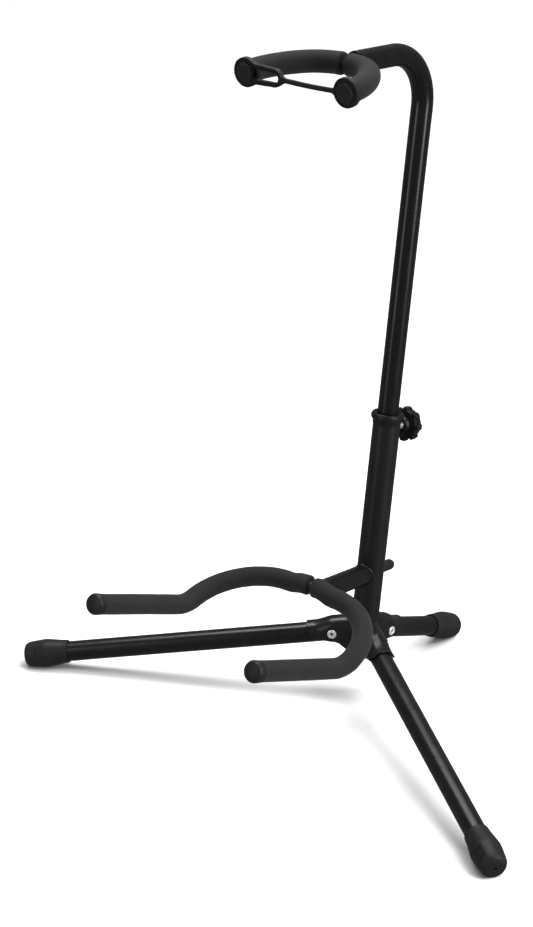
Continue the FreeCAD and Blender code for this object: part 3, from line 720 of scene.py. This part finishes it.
for i in range(weld_around):
    a, b = first + i * weld_section, first + ((i + 1) % weld_around) * weld_section
    faces.extend(bridge(a, b, weld_section))
add_piece("cradle_tube", vertices, faces, LEG, "stand_base", ("cradle_stub",))

# ---- legs, rivets and boots ----------------------------------------------------------------------------


class Leg:
    """A leg's directions, from the hub's centre to the middle of its boot's end."""

    def __init__(self, plan_angle, reach, end_z, pivot_rise):
        angle = math.radians(plan_angle)
        self.plan = Vector((math.sin(angle), -math.cos(angle), 0))
        run = self.plan * reach + Vector((0, 0, end_z - HUB.z))
        self.length = run.length
        self.along = run.normalized()
        self.side = Z.cross(self.plan)
        self.normal = self.along.cross(self.side)
        self.pivot_rise = pivot_rise

    def at(self, distance, rise=0.0, aside=0.0):
        return HUB + self.along * distance + self.normal * rise + self.side * aside


LEGS = {"left": Leg(-FRONT_SPREAD, FRONT_REACH, FRONT_END_Z, FRONT_PIVOT_RISE),
        "right": Leg(FRONT_SPREAD, FRONT_REACH, FRONT_END_Z, FRONT_PIVOT_RISE),
        "rear": Leg(180, REAR_REACH, REAR_END_Z, 0.0)}

RIVET_R = 2.9
face = CHANNEL_R + SHEET
head_up = rounded([(1.5, face - 2), (RIVET_R, face - 2), (RIVET_R, face, 0.1), (4.35, face, 0.15),
                   (4.3, face + 0.55, 0.3), (3.3, face + 1.15, 0.6), (2.3, face + 1.2, 0.5),
                   (1.5, face + 0.6, 0.3)])
rivet_profile = [(r, -h) for r, h in reversed(head_up) if h > face - 1.9]
rivet_profile = rivet_profile + [(RIVET_R, -face + 2), (RIVET_R, face - 2)]
rivet_profile = rivet_profile + [p for p in head_up if p[1] > face - 1.9]

GROOVES, GROOVE_FIRST, GROOVE_PITCH, GROOVE_DEPTH = 6, 23.0, 2.15, 0.75
GROOVE_SIDE, GROOVE_HALF = 0.95, 0.42        # radians round the boot


def treaded(radii, heights, angles):
    """Rows of short slots across both upper sides of the boot's toe half."""
    height = heights[0]
    station = (height - GROOVE_FIRST) / GROOVE_PITCH
    if radii[0] > 10.5 and -0.5 < station < GROOVES - 0.5:
        groove = max(0.0, math.cos(2 * math.pi * station)) ** 0.7
        for centre in (-GROOVE_SIDE, GROOVE_SIDE):
            off = np.abs((angles - centre + math.pi) % (2 * math.pi) - math.pi)
            radii = radii - GROOVE_DEPTH * groove * np.clip((GROOVE_HALF - off) / 0.07, 0, 1)
    return radii, heights


boot_outline = rounded([(9.55, 0.0, 0.2), (10.75, 0.0, 0.35), (11.0, 1.0, 0.4), (11.2, 5.0, 3.0),
                        (13.1, 18.0, 6.0), (13.4, 21.0, 3.0), (13.3, 24.0, 6.0),
                        (12.2, 35.0, 6.0), (11.5, 38.6, 2.4), (9.9, 41.1, 1.6),
                        (7.6, BOOT_LENGTH, 0.8), (1.3, BOOT_LENGTH, 0.25), (1.0, 40.5),
                        (1.0, 34.1), (9.55, 34.1)])


def resampled(profile, step):
    """Adds points so that no side of a closed profile is longer than step."""
    made = []
    for here, after in zip(profile, profile[1:] + profile[:1]):
        here, after = np.asarray(here, float), np.asarray(after, float)
        parts = max(1, int(math.ceil(np.linalg.norm(after - here) / step)))
        made.extend(here + (after - here) * k / parts for k in range(parts))
    return made


for side, leg in LEGS.items():
    leg_line = straight(leg.at(LEG_START), leg.at(leg.length - BOOT_COVER))
    vertices, faces = tube_mesh(leg_line, TUBE_R, TUBE_R - TUBE_WALL)
    add_piece("leg_tube_" + side, vertices, faces, LEG, "leg_" + side,
              ("leg_" + side,))
    lathe("pivot_" + side, rivet_profile, leg.at(PIVOT, leg.pivot_rise), leg.side, BRIGHT,
          "stand_base", ("rivet_" + side,), 64, None, leg.along)
    vertices, faces = turned(resampled(boot_outline, 0.35), leg.at(leg.length - BOOT_LENGTH),
                             leg.along, leg.normal, 180, treaded)
    vertices = np.array(vertices)
    vertices[:, 2] = np.maximum(vertices[:, 2], 0.0)
    add_piece("boot_tread_" + side, vertices, faces, BOOT, "leg_" + side,
              ("boot_" + side,), 38)

# ---- tripod hub -------------------------------------------------------------------------------------------

# Lower edge of a channel's sides: (distance out along the leg, height across it).
SKIRT = [(-10, -18.5), (16, -18.5), (18.2, -15.2), (21.5, -11.2), (24, -8.6), (27, -7.2),
         (31, -6.3), (37, -4.6), (46, -1.0), (50.2, 1.0), (SOCKET_END, 3.0), (60, 7.0)]
FADE_START, FADE = 27.0, 18.0                # where the roof comes down to the leg
FLARE, FLARE_LENGTH = 0.35, 2.2              # at the mouth of a channel
DENT_AT, DENT_RISE, DENT_DEPTH, DENT_R = 41.5, 1.0, 0.8, 1.3
HUB_BLEND, HOLE_R, MAST_FIT = 2.4, 2.95, 0.02


def smooth_min(a, b, k):
    """Smaller of two distances, with the crease between them rounded over about k."""
    h = np.clip(0.5 + 0.5 * (b - a) / k, 0, 1)
    return b + (a - b) * h - k * h * (1 - h)


def hub_field(p):
    """Signed distance, roughly, to the pressed sheet of the hub at an array of points."""
    outside, inside, holes = None, None, None
    for name, leg in LEGS.items():
        q = p - np.array(HUB)
        s, n, a = q @ np.array(leg.along), q @ np.array(leg.normal), q @ np.array(leg.side)
        t = np.clip((s - FADE_START) / FADE, 0, 1)
        lift = ROOF + DOME * (1 - t * t * (3 - 2 * t))
        flare = FLARE * np.clip((s - (SOCKET_END - FLARE_LENGTH)) / FLARE_LENGTH, 0, 1) ** 2
        arch = np.where(n > lift, np.hypot(a, n - lift), np.abs(a)) - flare
        if name == "left":
            dent = np.hypot(s - DENT_AT, n - DENT_RISE)
            arch = arch + DENT_DEPTH * np.exp(-(dent / DENT_R) ** 2) * (a < 0)
        skirt = (np.interp(s, [c[0] for c in SKIRT], [c[1] for c in SKIRT]) - n) * 0.8
        limit = np.maximum(s - SOCKET_END, -s)
        outer = np.maximum(np.maximum(arch - face, skirt), limit)
        inner = np.maximum(arch - CHANNEL_R, -s - 3.0)
        hole = HOLE_R - np.hypot(s - PIVOT, n - leg.pivot_rise)
        outside = outer if outside is None else smooth_min(outside, outer, HUB_BLEND)
        inside = inner if inside is None else np.minimum(inside, inner)
        holes = hole if holes is None else np.maximum(holes, np.where(s > 0, hole, -9))
    q = p - np.array(HUB)
    up = np.array(UP)
    mast = np.linalg.norm(q - np.outer(q @ up, up), axis=1)
    return np.maximum(np.maximum(outside, -inside), np.maximum(holes, MAST_R + MAST_FIT - mast))


HUB_CELL, HUB_LOW, HUB_SIZE = 0.55, [-58.0, 22.0, 26.0], [116.0, 96.0, 58.0]


def sample_lines(low, size, cell):
    """Coordinates of a grid's planes along each axis."""
    cells = (np.array(size) / cell).astype(int)
    return [low[k] + cell * np.arange(cells[k] + 1) for k in range(3)]


axes = sample_lines(HUB_LOW, HUB_SIZE, HUB_CELL)
field = np.empty([len(line) for line in axes])
for i, x in enumerate(axes[0]):
    grid = np.stack(np.meshgrid([x], axes[1], axes[2], indexing="ij"), -1).reshape(-1, 3)
    field[i] = hub_field(grid).reshape(len(axes[1]), len(axes[2]))
vertices, faces = surface_net(field, HUB_LOW, HUB_CELL)


def settled(vertices, field_at, rounds=3, reach=0.12):
    """Moves a net's points onto the field's true zero level, so that highlights run smoothly."""
    for _ in range(rounds):
        value = field_at(vertices)
        slope = np.stack([(field_at(vertices + step) - field_at(vertices - step)) / 0.1
                          for step in np.eye(3) * 0.05], 1)        # 0.1 is both steps together
        size = np.maximum((slope ** 2).sum(1), 0.2)
        vertices = vertices - np.clip(value / size, -reach, reach)[:, None] * slope
    return vertices


vertices = settled(vertices, hub_field)
add_piece("hub_pressing", vertices, faces, PRESSED, "stand_base",
          ("tripod_hub",), 48)

# ---- neck strap -------------------------------------------------------------------------------------------

STRAP_SPAN = 2 * neck_tip.x
STRAP_LOW = 1.3
LOOP_AT, ROOT_AT = STRAP_SPAN - 30.0, STRAP_SPAN - STRAP_RING_R * 0.7
LOOP_R, LOOP_ROOT_R, SLOT_R, SLOT_ROOT_R = 7.6, 8.5, 4.1, 4.6
BAND_AT, BAND_BOW, BAND_HALF, BAND_FLARE = 0.7, 0.5, 1.9, 1.6
LIP, RIM_DROP = 2.9, 1.05                    # width of the raised lip, and how far the rim sinks


def wedge(x, y, x0, r0, x1, r1):
    """Distance to a plate bounded by two circles on the X axis and their common tangents."""
    angle = math.acos((r0 - r1) / (x1 - x0))
    nx, ny = math.cos(angle), math.sin(angle)
    ay = np.abs(y)
    along = (x - x0) * ny - ay * nx
    side = (x - x0) * nx + ay * ny - r0
    far = (x1 - x0) * ny
    first, second = np.hypot(x - x0, y) - r0, np.hypot(x - x1, y) - r1
    return np.where(along < 0, first, np.where(along > far, second, side))


def strap_field(p):
    """Rubber ring, thin band and slotted loop, in the strap's own flat frame."""
    x, y, z = p[:, 0], p[:, 1], p[:, 2]
    ring_a, ring_b = np.hypot(x, y), np.hypot(x - STRAP_SPAN, y)
    ring = np.minimum(ring_a, ring_b)
    loop = wedge(x, y, LOOP_AT, LOOP_R, ROOT_AT, LOOP_ROOT_R)
    slot = wedge(x, y, LOOP_AT, SLOT_R, ROOT_AT, SLOT_ROOT_R)
    plate = smooth_min(ring_b - STRAP_RING_R, loop, 1.8)
    sag = BAND_AT + BAND_BOW * np.sin(math.pi * np.clip((x - 12) / (LOOP_AT - 19.6), 0, 1))
    width = BAND_HALF + BAND_FLARE * np.exp(-((x - STRAP_RING_R + 0.4) / 1.9) ** 2)
    width = width + BAND_FLARE * np.exp(-((x - LOOP_AT + 7.4) / 1.9) ** 2)
    band = np.maximum(np.abs(y - sag) - width, np.maximum(-x + 8, x - LOOP_AT + 2))
    outline = smooth_min(plate, ring_a - STRAP_RING_R, 0.5)
    well = ring - (PLUG_NECK_R + 0.1)
    rim_drop = RIM_DROP * np.clip((-outline - 1.15) / 0.5, 0, 1)
    lip = np.clip((LIP + PLUG_NECK_R - ring) / 0.4, 0, 1)
    lip_slot = np.clip((1.0 - slot) / 0.35, 0, 1)
    drop = rim_drop * (1 - 0.75 * np.maximum(lip, lip_slot))
    body = np.maximum(outline, np.maximum(z - (STRAP_LOW + STRAP_T) + drop, STRAP_LOW - z))
    strip = np.maximum(band, np.abs(z - STRAP_LOW - 2.1) - 1.2)
    total = smooth_min(body, strip, 0.5)
    return np.maximum(total, np.maximum(-slot, -well))


STRAP_CELL, STRAP_CORNER = 0.38, [-13.0, -13.0, 0.4]
axes = sample_lines(STRAP_CORNER, [STRAP_SPAN + 26.0, 26.0, 6.0], STRAP_CELL)
grid = np.stack(np.meshgrid(*axes, indexing="ij"), -1)
field = strap_field(grid.reshape(-1, 3)).reshape(grid.shape[:3])
vertices, faces = surface_net(field, STRAP_CORNER, STRAP_CELL)
vertices = settled(vertices, strap_field, 2, 0.08)
vertices = vertices @ basis(DIP, X * -1).T + np.array(neck_tip)
add_piece("strap", vertices, faces, RUBBER, "upper_mast", ("neck_strap",), 50)

# ---- CAD pieces that show as they are -----------------------------------------------------------------

FINISHES = {"cradle_stem": LEG, "neck_stem": GLOSS, "cradle_rod": ROD, "neck_yoke_rod": ROD,
            "cradle_bolt": ZINC, "guide_bush": PLASTIC, "clamp_nut": SATIN}
for name, finish in FINISHES.items():
    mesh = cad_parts[name].data
    mesh.materials.clear()
    mesh.materials.append(finish)

# ---- floor, light and camera -------------------------------------------------------------------------------


def floor_material():
    """Matt white paper with faint clouds."""
    material, nodes, links, shader, place = graph("white_floor")
    shade = noise(nodes, links, place, 900, 2)
    tone = ramp(nodes, links, shade, [(0.2, (0.93, 0.93, 0.93)), (0.8, (0.955, 0.955, 0.955))])
    links.new(tone, shader.inputs["Base Color"])
    shader.inputs["Roughness"].default_value = 0.7
    shader.inputs["Specular IOR Level"].default_value = 0.2
    return material


# Metres from here on. The floor is left out of the paint's reflections, and only its near part
# gives bounced light, because the photograph's ground is cut out.
NEAR_HALF, FAR_HALF = 0.75, 30.0
paper = floor_material()


def floor_piece(name, corners, faces):
    """Part of the white ground; it belongs to the stage."""
    mesh = bpy.data.meshes.new(name)
    mesh.from_pydata(corners, [], faces)
    mesh.materials.append(paper)
    piece = bpy.data.objects.new(name, mesh)
    bpy.context.scene.collection.objects.link(piece)
    return piece


def square(half):
    """Corners of a square on the ground."""
    return [(-half, -half, 0), (half, -half, 0), (half, half, 0), (-half, half, 0)]


near = floor_piece("floor_near", square(NEAR_HALF), [(0, 1, 2, 3)])
near.visible_glossy = False
far = floor_piece("floor_far", square(NEAR_HALF) + square(FAR_HALF),
                  [(k, 4 + k, 4 + (k + 1) % 4, (k + 1) % 4) for k in range(4)])
far.visible_glossy = False
far.visible_diffuse = False


def softbox(name, place, aim, width, height, power):
    """Rectangular lamp at place that faces aim."""
    light = bpy.data.lights.new(name, "AREA")
    light.shape = "RECTANGLE"
    light.size, light.size_y, light.energy = width, height, power
    lamp = bpy.data.objects.new(name, light)
    lamp.location = place
    lamp.rotation_euler = (Vector(aim) - Vector(place)).to_track_quat("-Z", "Y").to_euler()
    bpy.context.scene.collection.objects.link(lamp)


softbox("side_right", (1.6, 0.2, 1.0), (0, 0, 0.35), 0.35, 2.0, 20)
softbox("overhead", (-0.5, 0.4, 2.0), (0, 0, 0.1), 1.6, 0.5, 30)
softbox("front", (-0.5, -2.2, 0.9), (0, 0, 0.35), 0.4, 1.8, 8)

SUN_POWER, SUN_WIDTH, WORLD_GLOW = 3.35, math.radians(50), 0.16
sun_data = bpy.data.lights.new("sky_glow", "SUN")
sun_data.energy, sun_data.angle = SUN_POWER, SUN_WIDTH
sun = bpy.data.objects.new("sky_glow", sun_data)
sun.rotation_euler = Vector((0.55, 0.35, 1.0)).to_track_quat("Z", "Y").to_euler()
sun.visible_glossy = False
bpy.context.scene.collection.objects.link(sun)

world = bpy.data.worlds.new("studio")
world.use_nodes = True
background = world.node_tree.nodes["Background"]
background.inputs["Color"].default_value = (1, 1, 1, 1)
background.inputs["Strength"].default_value = WORLD_GLOW
bpy.context.scene.world = world
bpy.context.scene.view_settings.view_transform = "Standard"

# The camera was fitted to the photograph's outlines. Lens and sensor are in millimetres.
SENSOR, LENS = 36.0, 83.74
CAMERA_PLACE, CAMERA_TILT, CAMERA_TURN = (1.07497, -1.33267, 1.00951), 66.043, 40.621
camera_data = bpy.data.cameras.new("camera")
camera_data.sensor_width, camera_data.lens = SENSOR, LENS
camera_data.clip_end = 200.0
camera = bpy.data.objects.new("camera", camera_data)
camera.location = CAMERA_PLACE
camera.rotation_euler = (math.radians(CAMERA_TILT), 0, math.radians(CAMERA_TURN))
bpy.context.scene.collection.objects.link(camera)
bpy.context.scene.camera = camera
